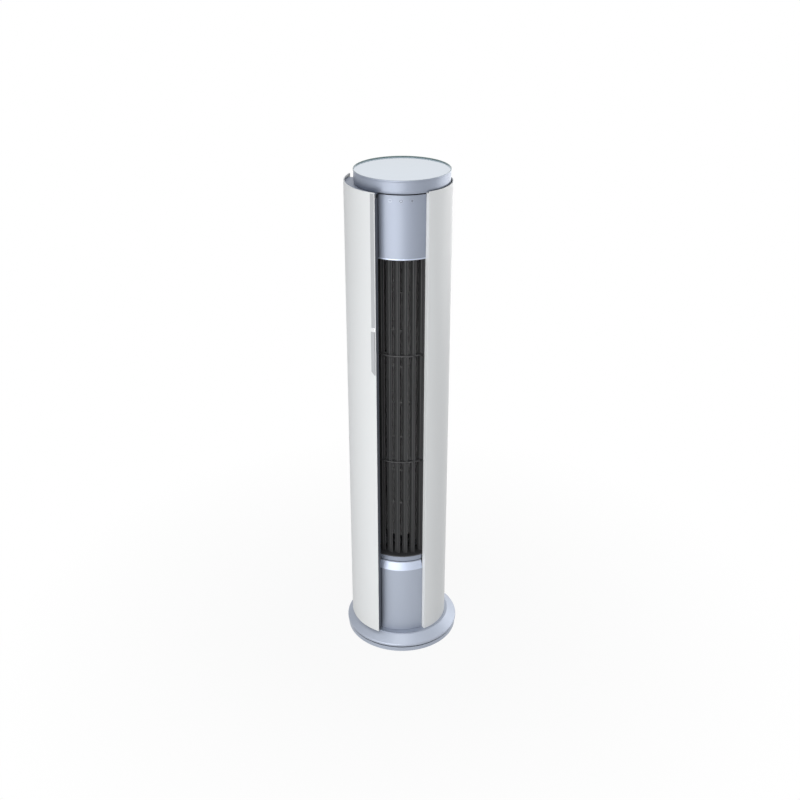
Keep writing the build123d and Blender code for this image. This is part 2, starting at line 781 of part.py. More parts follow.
def refrigerant_pipe(place, side):
    """A copper pipe from the fins to a flare nut in the lower compartment."""
    x, y, r = place
    top, low, bend = OUTLET_TOP - 125, PIPE_Z + 10, 24.0
    down = Line((x, y, top), (x, y, low + bend))
    middle = Vector(
        x, y + bend - bend * math.cos(math.pi / 4), low + bend - bend * math.sin(math.pi / 4)
    )
    turn = ThreePointArc(down @ 1, middle, (x, y + bend, low))
    out = Line(turn @ 1, (x, y + 50, low))
    path = Wire([*down.edges(), *turn.edges(), *out.edges()])
    pipe = sweep(Plane(origin=down @ 0, z_dir=(0, 0, -1)) * Circle(r), path)
    nut = extrude(RegularPolygon(r + 5, 6), 16)
    pipe += Plane(origin=(x, y + 46, low), z_dir=(0, 1, 0)) * nut
    stub_r = min(r, 5.0)
    return pipe + radial_rod(stub_r, PIPE_PLACE_R, EVAP_R[0] - 0.1, side * PIPE_A, top - 30)


def refrigerant_pipes():
    """The thick gas pipe and the thin liquid pipe."""
    gas, liquid = pipe_places()
    return [refrigerant_pipe(gas, 1), refrigerant_pipe(liquid, -1)]


# ---------------------------------------------------------------- electrics
BOX = (-72.0, 72.0, -52.0, 78.0)
BOX_H = 147.0


def electrical_box():
    low = BULKHEAD_Z + SHELF_T
    high = low + BOX_H
    outer = block(*BOX, low, high)
    return outer - block(BOX[0] + 2, BOX[1] - 2, BOX[2] - 1, BOX[3] - 2, low + 2, high - 2)


def electrical_box_lid():
    low = BULKHEAD_Z + SHELF_T
    high = low + BOX_H
    return block(BOX[0], BOX[1], BOX[2] - 2, BOX[2], low, high)


BOARD_SIZE = (128.0, 120.0)
BOARD_BACK_Y = 61.6
TERMINALS = 5
TERMINAL_PITCH = 15.0
BOARD_PARTS = (
    (-40, 30, 30, 36, 28),
    (8, 34, 26, 26, 22),
    (44, 60, 18, 70, 14),
    (-30, 88, 44, 20, 12),
)


def main_board():
    low = BULKHEAD_Z + SHELF_T + 2
    half_w, front = BOARD_SIZE[0] / 2, BOARD_BACK_Y - BOARD_T
    board = block(-half_w, half_w, front, BOARD_BACK_Y, low, low + BOARD_SIZE[1])
    for x, z, w, h, deep in BOARD_PARTS:
        board += block(x - w / 2, x + w / 2, front - deep, front, low + z - h / 2, low + z + h / 2)
    return board


def terminal_block():
    low = BULKHEAD_Z + SHELF_T + 2
    body = block(-50, 30, 10, 30, low, low + 16)
    for i in range(TERMINALS):
        x = -46 + i * TERMINAL_PITCH
        body -= block(x, x + 11, 8, 22, low + 6, low + 20)
    return body


# ---------------------------------------------------------------- top and door drive
SPINDLE_R = 12.0
COVER_POST_R = COVER_R - 25
COVER_POST_PLACES = [(COVER_POST_R, a) for a in (70, 150, 222)]
PINION_PLACE = at((GEAR_TEETH + PINION_TEETH) * GEAR_MODULE / 2, PINION_A)
PINION_SHAFT_R = 2.5


def top_deck():
    deck = rod(BODY_R - WALL - SEAT, DECK_Z, DECK_TOP)
    deck -= rod(PINION_SHAFT_R + RUNNING, DECK_Z - 1, DECK_TOP + 1, *PINION_PLACE)
    front = FRONT_R - WALL - SEAT
    deck -= sector(front, BODY_R, -OPENING_A - 2, OPENING_A + 2, DECK_Z - 1, DECK_TOP + 1)
    deck -= sector(-BOARD_Y + 2, BODY_R, -20, 20, DECK_Z - 1, DECK_TOP + 1)
    for r, a in COVER_POST_PLACES:
        deck += rod(6, DECK_Z, COVER_TOP - WALL, *at(r, a))
    return deck


def door_spindle():
    post = rod(SPINDLE_R, DECK_TOP, DECK_TOP + 16)
    return post + rod(22, DECK_TOP, ARM_Z - SEAT)


def gear_turn():
    """Turns the sector gear so that a tooth gap faces the pinion."""
    return PINION_A - 90 + 360 / GEAR_TEETH / 2


def door_arm():
    """The arm that carries the door, with a hub on the spindle and a toothed sector behind it."""
    low, high = ARM_Z, ARM_Z + ARM_T
    reach = DOOR_R - DOOR_WALL
    slice_ = sector(SPINDLE_R + RUNNING, reach, ARM_BACK_A, ARM_FRONT_A, low, high)
    start, end = ARM_BACK_A + 12, ARM_FRONT_A - 12
    slice_ -= sector(46, COVER_R - 17, start, end, low - 1, high + 1)
    gear = Rot(0, 0, gear_turn()) * gear_profile(GEAR_TEETH, GEAR_MODULE)
    teeth = Pos(0, 0, low) * extrude(gear, ARM_T)
    keep = sector(1, GEAR_TEETH, *GEAR_SPAN_A, low - 1, high + 1)
    hub = rod(28, low, high + 4)
    arm = slice_ + (teeth & keep) + hub
    return arm - rod(SPINDLE_R + RUNNING, low - 1, high + 5)


def door_pinion():
    face = Rot(0, 0, PINION_A - 90) * gear_profile(PINION_TEETH, GEAR_MODULE)
    wheel = Pos(0, 0, ARM_Z - 1) * extrude(face, ARM_T + 2)
    wheel += rod(PINION_SHAFT_R, DECK_Z - 8, ARM_Z + ARM_T)
    return Pos(*PINION_PLACE) * wheel


def door_motor():
    body = rod(18, DECK_Z - 22, DECK_Z, *PINION_PLACE)
    return body - rod(PINION_SHAFT_R + RUNNING, DECK_Z - 9, DECK_Z + 1, *PINION_PLACE)


def top_cover():
    """The silver cap, an upturned dish with a rounded lower edge."""
    inner = COVER_R - WALL
    return turned(
        [
            (inner - 1, COVER_BOTTOM_Z),
            (COVER_R - 3, COVER_BOTTOM_Z),
            (COVER_R, COVER_BOTTOM_Z + 8),
            (COVER_R, COVER_TOP),
            (0, COVER_TOP),
            (0, COVER_TOP - WALL),
            (inner, COVER_TOP - WALL),
            (inner, COVER_BOTTOM_Z + 8),
        ]
    )


def top_glass():
    disc = rod(GLASS_R, COVER_TOP, COVER_TOP + GLASS_T)
    return chamfer(disc.edges().group_by(Axis.Z)[-1], 1.0)


BRACKET_SIZE = (96.0, 28.0)
BRACKET_SPACING = 70.0


def tip_bracket():
    """The plate on the back that a wall strap bolts to."""
    half_w, half_h = BRACKET_SIZE[0] / 2, BRACKET_SIZE[1] / 2
    z = (GRILLE_Z[1] + SHELL_TOP_Z) / 2
    plate = block(-half_w, half_w, BODY_R, BODY_R + WALL, z - half_h, z + half_h)
    for x in (-BRACKET_SPACING / 2, BRACKET_SPACING / 2):
        plate -= bar_along_y(3.0, x, z, BODY_R - 5, BODY_R + 8)
    return plate


# ---------------------------------------------------------------- door
def door_shell():
    edge = arc_of(DOOR_WALL, DOOR_R)
    skin = sector(
        DOOR_R - DOOR_WALL, DOOR_R, DOOR_BACK_A, DOOR_FRONT_A, DOOR_BOTTOM_Z, DOOR_TOP_Z
    )
    low, high = BASE_TOP_Z + 14, DECK_Z
    inner = BODY_R + 6
    skin += sector(inner, DOOR_R - 1, DOOR_FRONT_A - edge, DOOR_FRONT_A, low, high)
    skin += sector(inner, DOOR_R - 1, DOOR_BACK_A, DOOR_BACK_A + edge, low, high)
    return skin


TRIM_W = 13.0
TRIM_INSET = 2.5


def trim_span():
    """The angles that the trim beside the door's front edge lies between."""
    end = DOOR_FRONT_A - arc_of(TRIM_INSET, DOOR_R)
    return (end - arc_of(TRIM_W, DOOR_R), end)


def door_trim():
    return sector(DOOR_R, DOOR_R + 1.5, *trim_span(), HANDLE_CAP_TOP, DOOR_TOP_Z - 3)


def door_handle():
    """The pull below the trim, thicker and with sloped ends."""
    low, high = HANDLE_BOTTOM, HANDLE_TOP
    proud = 5.0
    return turned(
        [
            (DOOR_R, low),
            (DOOR_R + proud, low + 10),
            (DOOR_R + proud, high - 4),
            (DOOR_R, high),
        ],
        *trim_span(),
    )


def handle_cap():
    """The bright block between the trim and the pull."""
    return sector(DOOR_R, DOOR_R + 3.5, *trim_span(), HANDLE_TOP, HANDLE_CAP_TOP)


def door_shoes():
    """Three nylon shoes that run between the body and the track's lip."""
    low = BASE_TOP_Z + 1
    found = []
    for a in (-106.0, -68.0, -32.0):
        foot = sector(BODY_R + 1.5, BASE_SHOULDER_R - 2.5, a - 2, a + 2, low, low + 14)
        foot += sector(
            BODY_R + 4, DOOR_R - DOOR_WALL, a - 2, a + 2, low + 6, low + 14
        )
        found.append(foot)
    return found


# ---------------------------------------------------------------- writing
NODES = {
    "rubber_feet": rubber_feet,
    "base_tray": base_tray,
    "base_cover": base_cover,
    "inner_frame": inner_frame,
    "right_side_panel": lambda: side_panel(1, SHELL_TOP_Z),
    "left_side_panel": lambda: side_panel(-1, LEFT_PANEL_TOP),
    "rear_lower_panel": rear_lower_panel,
    "rear_upper_panel": rear_upper_panel,
    "panel_screws": panel_screws,
    "pipe_grommet": pipe_grommet,
    "cable_gland": cable_gland,
    "intake_grille": intake_grille,
    "air_filter_frame": air_filter_frame,
    "air_filter_mesh": air_filter_mesh,
    "upper_front_panel": upper_front_panel,
    "key_down": lambda: key(0),
    "key_power": lambda: key(1),
    "key_up": lambda: key(2),
    "display_board": display_board,
    "lower_front_panel": lower_front_panel,
    "outlet_sill": outlet_sill,
    "outlet_frame": outlet_frame,
    "vane_bushes": vane_bushes,
    "vane_link": vane_link,
    "vane_motor": vane_motor,
    "duct_walls": lambda: [duct_wall(-1), duct_wall(1)],
    "fan_impeller": fan_impeller,
    "fan_shaft": fan_shaft,
    "fan_motor": fan_motor,
    "fan_bearing": fan_bearing,
    "evaporator_fins": evaporator_fins,
    "evaporator_bends": evaporator_bends,
    "drain_pan": drain_pan,
    "drain_hose": drain_hose,
    "pan_shelf": pan_shelf,
    "top_bulkhead": top_bulkhead,
    "refrigerant_pipes": refrigerant_pipes,
    "electrical_box": electrical_box,
    "electrical_box_lid": electrical_box_lid,
    "main_board": main_board,
    "terminal_block": terminal_block,
    "top_deck": top_deck,
    "door_spindle": door_spindle,
    "door_arm": door_arm,
    "door_pinion": door_pinion,
    "door_motor": door_motor,
    "top_cover": top_cover,
    "top_glass": top_glass,
    "tip_bracket": tip_bracket,
    "door_shell": door_shell,
    "door_trim": door_trim,
    "door_handle": door_handle,
    "handle_cap": handle_cap,
    "door_shoes": door_shoes,
}
for number in range(VANE_COUNT):
    NODES[f"vane_{number + 1}"] = lambda number=number: vane(number)

os.makedirs("parts", exist_ok=True)
for name, make in NODES.items():
    made = make()
    if isinstance(made, list):
        made = Compound(children=[s for part in made for s in part.solids()])
    export_step(made, f"parts/{name}.step")
print(len(NODES), "nodes written")
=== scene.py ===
"""A floor standing air conditioner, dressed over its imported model. Metres, +Z up, the outlet faces -Y."""

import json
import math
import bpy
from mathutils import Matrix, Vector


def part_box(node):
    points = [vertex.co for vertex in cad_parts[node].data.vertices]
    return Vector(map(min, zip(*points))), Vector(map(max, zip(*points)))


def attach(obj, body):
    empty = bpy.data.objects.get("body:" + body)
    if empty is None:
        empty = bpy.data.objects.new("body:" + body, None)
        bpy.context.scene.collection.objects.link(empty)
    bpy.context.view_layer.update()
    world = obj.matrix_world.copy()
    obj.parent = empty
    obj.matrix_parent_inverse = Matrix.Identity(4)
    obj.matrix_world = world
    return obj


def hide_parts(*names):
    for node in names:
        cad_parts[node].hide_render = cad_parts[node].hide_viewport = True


bl_info = {
    "name": "Floor Standing Air Conditioner",
    "version": (1, 0, 0),
    "blender": (4, 5, 0),
    "location": "View3D > Sidebar > Conditioner",
    "description": "Builds the shells, trims, finishes and stage of a round floor standing air conditioner",
    "category": "Object",
}

import bmesh
import bpy
from bpy.props import FloatProperty, FloatVectorProperty, IntProperty, PointerProperty
from mathutils import Matrix, Vector

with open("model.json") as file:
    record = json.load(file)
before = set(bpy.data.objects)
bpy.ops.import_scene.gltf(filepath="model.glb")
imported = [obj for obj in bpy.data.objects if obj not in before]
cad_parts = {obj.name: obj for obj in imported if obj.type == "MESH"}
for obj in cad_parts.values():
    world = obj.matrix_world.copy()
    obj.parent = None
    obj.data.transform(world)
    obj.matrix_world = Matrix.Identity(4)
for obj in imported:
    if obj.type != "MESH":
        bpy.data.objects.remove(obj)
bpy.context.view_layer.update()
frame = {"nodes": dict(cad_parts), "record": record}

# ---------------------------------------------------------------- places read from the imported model
MM = 0.001
BODY_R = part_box("right_side_panel")[1].x
DOOR_R = -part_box("door_shell")[0].x
FRONT_R = -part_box("lower_front_panel")[0].y
COVER_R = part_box("top_cover")[1].x
GLASS_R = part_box("top_glass")[1].x
BASE_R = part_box("base_cover")[1].x
BASE_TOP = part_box("right_side_panel")[0].z
SHELL_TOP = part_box("right_side_panel")[1].z
LEFT_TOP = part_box("left_side_panel")[1].z
CAP_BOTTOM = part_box("top_cover")[0].z
KEY_Z = (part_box("key_power")[0].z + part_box("key_power")[1].z) / 2
WALL = 3 * MM
DOOR_WALL = 4 * MM
RETURN_R = FRONT_R - WALL
SHELL_CLEAR = 0.3 * MM
PROUD = 0.8 * MM
BEVEL_H = 34 * MM
# Width of the slate strips of painted shade beside the door.
SHADE_STRIP_W = 9 * MM
KEY_PITCH = 34 * MM

# Angles in degrees from the front, positive to the right.
OPENING_A = 32.0
FRONT_A = OPENING_A - 0.3
REAR_A = 124.83
DOOR_A = (-112.0, -25.5)
TRACK_A = (-118.0, 41.0)
SCREW_A = 50.0
QUARTERS = (45, 135, 225, 315)


# ---------------------------------------------------------------- sizes and colours a user can change
class ConditionerSizes(bpy.types.PropertyGroup):
    """Edge sizes and the fineness of the round shells."""

    edge: FloatProperty(
        name="Panel edge", description="Radius of the white panels' edges",
        default=1.0 * MM, min=0.1 * MM, max=1.4 * MM, unit="LENGTH", precision=4,
    )
    trim_edge: FloatProperty(
        name="Trim edge", description="Radius of the trim's and the pull's edges",
        default=0.6 * MM, min=0.1 * MM, max=0.7 * MM, unit="LENGTH", precision=4,
    )
    step: FloatProperty(
        name="Arc step", description="Degrees between two facets of a round shell",
        default=2.5, min=1.0, max=10.0,
    )
    tip: FloatProperty(
        name="Pull tip", description="Length of the pointed end of the door's pull",
        default=14 * MM, min=4 * MM, max=30 * MM, unit="LENGTH", precision=4,
    )
    screw_sides: IntProperty(
        name="Screw sides", description="Sides of a screw head's rim", default=24, min=12, max=48,
    )


class ConditionerColours(bpy.types.PropertyGroup):
    """The finishes' base colours."""

    white: FloatVectorProperty(
        name="White", description="Moulded white of the panels and the door",
        subtype="COLOR", size=3, default=(0.735, 0.75, 0.755),
    )
    silver: FloatVectorProperty(
        name="Silver", description="Metallic paint of the front panels and the cap",
        subtype="COLOR", size=3, default=(0.265, 0.295, 0.36),
    )
    base: FloatVectorProperty(
        name="Base silver", description="Metallic paint of the base",
        subtype="COLOR", size=3, default=(0.35, 0.385, 0.455),
    )
    plate: FloatVectorProperty(
        name="Top plate", description="Back-painted glass on top",
        subtype="COLOR", size=3, default=(0.66, 0.77, 0.90),
    )
    vane: FloatVectorProperty(
        name="Vanes", description="Dark moulding of the vanes",
        subtype="COLOR", size=3, default=(0.034, 0.034, 0.0355),
    )


# ---------------------------------------------------------------- shader maths
class Wire:
    """A socket's value, on which arithmetic adds Math nodes."""

    def __init__(self, nodes, socket):
        self.nodes = nodes
        self.socket = socket

    def _do(self, operation, a, b):
        return self.nodes.math(operation, a, b)

    def __add__(self, other):
        return self._do("ADD", self, other)

    def __radd__(self, other):
        return self._do("ADD", other, self)

    def __sub__(self, other):
        return self._do("SUBTRACT", self, other)

    def __rsub__(self, other):
        return self._do("SUBTRACT", other, self)

    def __mul__(self, other):
        return self._do("MULTIPLY", self, other)

    def __rmul__(self, other):
        return self._do("MULTIPLY", other, self)

    def __pow__(self, other):
        return self._do("POWER", self, other)


class Nodes:
    """A node tree to which nodes are added with their settings and inputs."""

    def __init__(self, tree):
        self.tree = tree

    def put(self, socket, value):
        if isinstance(value, Wire):
            self.tree.links.new(value.socket, socket)
        else:
            socket.default_value = value

    def node(self, kind, settings=None, inputs=None, out=0):
        made = self.tree.nodes.new(kind)
        for key, value in (settings or {}).items():
            setattr(made, key, value)
        for key, value in (inputs or {}).items():
            self.put(made.inputs[key], value)
        return Wire(self, made.outputs[out])

    def math(self, operation, a, b):
        return self.node("ShaderNodeMath", {"operation": operation}, {0: a, 1: b})

    def seen(self):
        """One where a ray comes from the camera, a gloss or a glass."""
        shown = self.node("ShaderNodeLightPath", out="Is Camera Ray")
        rays = shown.socket.node.outputs
        for name in ("Is Glossy Ray", "Is Transmission Ray"):
            shown = self.math("MAXIMUM", shown, Wire(self, rays[name]))
        return shown


class Finish(Nodes):
    """A material with one principled shader, built from nodes."""

    def __init__(self, name):
        self.material = bpy.data.materials.new(name)
        self.material.use_nodes = True
        super().__init__(self.material.node_tree)
        self.shader = self.tree.nodes["Principled BSDF"]
        self.place = self.node("ShaderNodeTexCoord", out="Object")

    def noise(self, scale, detail=3.0, stretch=(1, 1, 1)):
        place = self.node("ShaderNodeMapping", inputs={"Vector": self.place, "Scale": stretch})
        values = {"Vector": place, "Scale": scale, "Detail": detail}
        return self.node("ShaderNodeTexNoise", inputs=values, out="Fac")

    def waves(self, scale, direction, distortion=0.0):
        settings = {"wave_type": "BANDS", "bands_direction": direction}
        values = {"Vector": self.place, "Scale": scale, "Distortion": distortion}
        return self.node("ShaderNodeTexWave", settings, values, out="Fac")

    def span(self, value, low, high, to_low=0.0, to_high=1.0):
        """Maps a stretch of a value onto another, held at its ends."""
        values = {"Value": value, "From Min": low, "From Max": high, "To Min": to_low, "To Max": to_high}
        return self.node("ShaderNodeMapRange", inputs=values)

    def mix(self, mask, colour_a, colour_b):
        values = {"Factor": mask, 6: colour_a, 7: colour_b}
        return self.node("ShaderNodeMix", {"data_type": "RGBA"}, values, out=2)

    def height(self):
        return self.node("ShaderNodeSeparateXYZ", inputs={0: self.place}, out="Z")

    def bump(self, height, strength, distance):
        values = {"Height": height, "Strength": strength, "Distance": distance}
        return self.node("ShaderNodeBump", inputs=values)

    def set(self, **values):
        for key, value in values.items():
            self.put(self.shader.inputs[key.replace("_", " ")], value)
        return self.material


def tint(colour, share=1.0):
    return (*(min(1.0, c * share) for c in colour), 1.0)


def moulded(name, colour, rough, gloss=0.0, grain=900.0, depth=0.05):
    """Moulded plastic: a slightly uneven colour, a fine grain and rubbed roughness."""
    f = Finish(name)
    cloud = f.noise(4.0, 4.0)
    fine = f.noise(grain, 2.0)
    f.set(
        Base_Color=f.mix(cloud, tint(colour, 0.965), tint(colour, 1.02)),
        Roughness=f.span(cloud, 0.3, 0.7, rough * 0.85, rough * 1.15),
        Normal=f.bump(fine, depth, 0.0004),
    )
    return f.set(Coat_Weight=gloss, Coat_Roughness=0.06)


def white_shell(colours):
    """Satin white moulding, with faint flow marks and a little floor dust low down."""
    f = Finish("white moulding")
    cloud = f.noise(2.2, 4.0, (1, 1, 0.35))
    flow = f.noise(55.0, 3.0, (1, 1, 0.06))
    peel = f.noise(420.0, 2.0)
    dust = f.span(f.height(), BASE_TOP, BASE_TOP + 0.10, 0.3, 0.0) * f.noise(38.0, 5.0)
    clean = f.mix(cloud, tint(colours.white, 0.965), tint(colours.white, 1.02))
    f.set(
        Base_Color=f.mix(dust, clean, tint((0.66, 0.645, 0.62))),
        Roughness=f.span(flow, 0.3, 0.7, 0.45, 0.52) + dust * 0.3,
        Normal=f.bump(peel, 0.045, 0.0005),
    )
    return f.set(Coat_Weight=0.1, Coat_Roughness=0.3)


def silver_paint(name, colour, metal=0.7, rough=0.58):
    """Metallic paint: fine flakes under a clear coat, and a soft cloudiness."""
    f = Finish(name)
    flake = f.noise(2600.0, 1.0)
    cloud = f.noise(3.5, 3.0, (1, 1, 0.4))
    spark = f.span(flake, 0.48, 0.72)
    base = f.mix(cloud, tint(colour, 0.94), tint(colour, 1.05))
    f.set(
        Base_Color=f.mix(spark * 0.35, base, tint(colour, 1.45)),
        Roughness=f.span(flake, 0.3, 0.7, rough * 0.8, rough * 1.2),
        Metallic=metal + spark * 0.2,
        Normal=f.bump(flake, 0.06, 0.0002),
    )
    return f.set(Coat_Weight=0.3, Coat_Roughness=0.25)


def top_plate(colours):
    """Pale back-painted glass with a clear polished face."""
    f = Finish("pale glass plate")
    cloud = f.noise(5.0, 3.0)
    f.set(
        Base_Color=f.mix(cloud, tint(colours.plate, 0.97), tint(colours.plate, 1.03)),
        Roughness=f.span(f.noise(60.0, 4.0), 0.35, 0.7, 0.05, 0.11),
    )
    return f.set(Coat_Weight=1.0, Coat_Roughness=0.02)


def glass_edge():
    """The ground edge of the plate, green where one looks into the glass."""
    f = Finish("glass edge")
    streak = f.noise(90.0, 3.0, (1, 1, 6))
    f.set(
        Base_Color=f.mix(streak, (0.10, 0.17, 0.16, 1), (0.20, 0.30, 0.29, 1)),
        Roughness=f.span(streak, 0.3, 0.7, 0.08, 0.2),
    )
    return f.set(Coat_Weight=0.6, Coat_Roughness=0.05)


def metal(name, colour, rough, grain=(1, 1, 40)):
    """Drawn or rolled metal: lines along the grain and patchy roughness."""
    f = Finish(name)
    line = f.noise(60.0, 5.0, grain)
    patch = f.noise(14.0, 3.0)
    f.set(
        Base_Color=f.mix(line * 0.6 + patch * 0.4, tint(colour, 0.82), tint(colour, 1.1)),
        Roughness=f.span(line + patch, 0.6, 1.4, rough * 0.75, rough * 1.3),
        Metallic=1.0,
        Normal=f.bump(line, 0.08, 0.0002),
    )
    return f.material


def zinc_sheet():
    """Zinc coated sheet with its crystal spangle."""
    f = Finish("zinc coated sheet")
    cells = f.node(
        "ShaderNodeTexVoronoi", inputs={"Vector": f.place, "Scale": 85.0}, out="Color"
    )
    shade = f.node("ShaderNodeSeparateColor", inputs={0: cells}, out=0)
    f.set(
        Base_Color=f.mix(shade, (0.42, 0.44, 0.46, 1), (0.62, 0.64, 0.66, 1)),
        Roughness=f.span(shade, 0.0, 1.0, 0.3, 0.5),
        Metallic=1.0,
    )
    return f.material


def fin_pack():
    """The coil's stacked fins: fine level lines, with a painted highlight at the edges and painted shade
    between them.
    """
    f = Finish("aluminium fins")
    line = f.waves(180.0, "Z")
    f.set(
        Base_Color=f.mix(line, (0.22, 0.23, 0.25, 1), (0.80, 0.82, 0.84, 1)),
        Roughness=f.span(f.noise(30.0, 3.0), 0.3, 0.7, 0.28, 0.45),
        Metallic=0.85,
        Normal=f.bump(line, 0.6, 0.0006),
    )
    return f.material


def filter_mesh():
    """Fine plastic mesh: two sets of crossing threads, with near-black painted shade in the openings
    between them.
    """
    f = Finish("filter mesh")
    across = f.waves(260.0, "X", 0.4)
    up = f.waves(260.0, "Z", 0.4)
    weave = f.math("MAXIMUM", across, up)
    lint = f.noise(18.0, 5.0)
    thread = f.mix(lint, (0.10, 0.105, 0.115, 1), (0.17, 0.17, 0.17, 1))
    f.set(
        Base_Color=f.mix(weave ** 3.0, (0.012, 0.012, 0.014, 1), thread),
        Roughness=f.span(weave, 0.0, 1.0, 0.9, 0.55),
        Normal=f.bump(weave, 0.5, 0.0005),
    )
    return f.material


def circuit_board():
    """Solder resist over copper tracks."""
    f = Finish("circuit board")
    tracks = f.span(f.noise(120.0, 1.0, (1, 1, 3)), 0.5, 0.54)
    f.set(
        Base_Color=f.mix(tracks, (0.02, 0.13, 0.06, 1), (0.06, 0.26, 0.13, 1)),
        Roughness=f.span(tracks, 0.0, 1.0, 0.45, 0.3),
        Normal=f.bump(tracks, 0.3, 0.0002),
    )
    return f.material


def dark_vane(colours):
    """Satin dark moulding, drawn along the blade, with lighter and darker streaks along it."""
    f = Finish("dark vane")
    streak = f.noise(120.0, 4.0, (1, 1, 0.03))
    cloud = f.noise(6.0, 3.0)
    f.set(
        Base_Color=f.mix(streak * 0.5 + cloud * 0.5, tint(colours.vane, 0.75), tint(colours.vane, 1.35)),
        Roughness=f.span(streak, 0.3, 0.7, 0.34, 0.5),
        Normal=f.bump(f.noise(1100.0, 2.0), 0.08, 0.0003),
    )
    return f.material


def make_finishes(colours):
    return {
        "white_shell": white_shell(colours),
        "silver_front": silver_paint("silver front paint", colours.silver),
        "silver_base": silver_paint("silver base paint", colours.base),
        "key_metal": silver_paint("key paint", tint(colours.silver, 1.1)[:3], 0.5, 0.5),
        # A lighter copy of the silver paint, a painted highlight on the bevel under the outlet and on the
        # bead over it.
        "silver_bright": silver_paint("bright silver paint", tint(colours.silver, 1.9)[:3], 0.5, 0.45),
        "top_plate": top_plate(colours),
        "glass_edge": glass_edge(),
        "chrome_trim": metal("polished block", (0.86, 0.87, 0.89), 0.1, (1, 1, 8)),
        "grey_trim": moulded("grey trim", (0.43, 0.44, 0.46), 0.3, 0.4),
        "dark_vane": dark_vane(colours),
        "outlet_black": moulded("outlet black", (0.034, 0.034, 0.036), 0.5, 0.0, 1200.0, 0.1),
        "rubber_black": moulded("black rubber", (0.02, 0.021, 0.024), 0.75, 0.0, 700.0, 0.25),
        # Slate colour painted as shade, on the strips beside the door and on the door's front edge.
        "slate_seal": moulded("slate seal", (0.085, 0.095, 0.12), 0.6, 0.0, 700.0, 0.2),
        "zinc_sheet": zinc_sheet(),
        "steel_shaft": metal("ground steel", (0.56, 0.57, 0.59), 0.25),
        "aluminium_fin": fin_pack(),
        "copper_pipe": metal("drawn copper", (0.72, 0.40, 0.27), 0.3),
        "grey_plastic": moulded("grey moulding", (0.28, 0.29, 0.30), 0.5),
        "air_path": moulded("air path moulding", (0.45, 0.45, 0.455), 0.6),
        "nylon_white": moulded("nylon", (0.70, 0.70, 0.66), 0.45),
        "mesh_grey": filter_mesh(),
        "board_green": circuit_board(),
        "brass_bush": metal("sintered bronze", (0.62, 0.47, 0.25), 0.42),
        "mark_grey": moulded("printed mark", (0.03, 0.032, 0.036), 0.4),
    }


FINISHES = {}
# The vane bushes take the outlet black, painted shade at the ends of the vanes.
NODE_FINISHES = {"fan_impeller": "air_path", "duct_walls": "air_path", "vane_bushes": "outlet_black"}


# ---------------------------------------------------------------- shapes
def sizes():
    return bpy.context.scene.conditioner_sizes


def turn(bm, outline, start, end):
    """Turns an outline of (radius, height) points round the axis, from one angle to another."""
    a = math.radians(start)
    corners = [bm.verts.new((r * math.sin(a), -r * math.cos(a), z)) for r, z in outline]
    around = end - start
    full = around >= 360
    if full:
        edges = [bm.edges.new(pair) for pair in zip(corners, corners[1:] + corners[:1])]
        geom = [*corners, *edges]
    else:
        face = bm.faces.new(corners)
        geom = [face, *face.edges, *face.verts]
    bmesh.ops.spin(
        bm, geom=geom, cent=(0, 0, 0), axis=(0, 0, 1), angle=math.radians(around),
        steps=max(2, round(around / sizes().step)), use_merge=full,
    )


def wall(bm, r_in, r_out, start, end, low, high):
    turn(bm, [(r_in, low), (r_out, low), (r_out, high), (r_in, high)], start, end)


def soften(bm, width, segments=2, over=40.0, edges=None):
    """Rounds the edges where two faces meet more steeply than an angle."""
    limit = math.radians(over)
    sharp = [e for e in (edges or bm.edges) if e.is_manifold and e.calc_face_angle(0) > limit]
    bmesh.ops.bevel(
        bm, geom=sharp, offset=width, offset_type="OFFSET", segments=segments,
        profile=0.5, affect="EDGES", clamp_overlap=True, material=-1,
    )


def piece(bm, name, body, slot, *nodes, finish=None, smooth=38.0):
    """Closes a mesh as a piece of the object that rides on a body."""
    bmesh.ops.recalc_face_normals(bm, faces=bm.faces)
    mesh = bpy.data.meshes.new(name)
    bm.to_mesh(mesh)
    bm.free()
    mesh.shade_smooth()
    mesh.set_sharp_from_angle(angle=math.radians(smooth))
    made = bpy.data.objects.new(name, mesh)
    bpy.context.scene.collection.objects.link(made)
    mesh.materials.append(FINISHES[finish or slot])
    shade = made.modifiers.new("even shading", "WEIGHTED_NORMAL")
    shade.keep_sharp = True
    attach(made, body)
    if nodes:
        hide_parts(*nodes)
    return made


def also(made, finish, chosen):
    """Gives the chosen faces of a piece another finish."""
    made.data.materials.append(FINISHES[finish])
    for face in made.data.polygons:
        if chosen(face, math.hypot(face.center.x, face.center.y)):
            face.material_index = len(made.data.materials) - 1


def bar(bm, size, place):
    """A small block of a size at a place."""
    matrix = Matrix.Translation(place) @ Matrix.Diagonal((*size, 1))
    bmesh.ops.create_cube(bm, size=1, matrix=matrix)


def disc(bm, radius, depth, matrix, sides=32):
    bmesh.ops.create_cone(
        bm, cap_ends=True, segments=sides, radius1=radius, radius2=radius, depth=depth, matrix=matrix
    )


def outward(angle, radius, height):
    """The matrix that puts local -Y outwards at an angle from the front, a radius and a height."""
    return Matrix.Rotation(math.radians(angle), 4, "Z") @ Matrix.Translation((0, -radius, height))


def arc_of(length, radius):
    return math.degrees(length / radius)


def angle_of(point):
    return math.degrees(math.atan2(point.x, -point.y))


class ConditionerPiece:
    """What the operators share."""

    bl_options = {"REGISTER", "UNDO"}


# ---------------------------------------------------------------- operators
class CONDITIONER_OT_finishes(ConditionerPiece, bpy.types.Operator):
    """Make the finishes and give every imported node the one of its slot"""

    bl_idname = "conditioner.finishes"
    bl_label = "Finishes"

    def execute(self, context):
        FINISHES.update(make_finishes(context.scene.conditioner_colours))
        slots = {row["node"]: row["material_slot"] for row in frame["record"]["subparts"]}
        for name, node in frame["nodes"].items():
            node.data.materials.clear()
            node.data.materials.append(FINISHES[NODE_FINISHES.get(name, slots[name])])
        return {"FINISHED"}


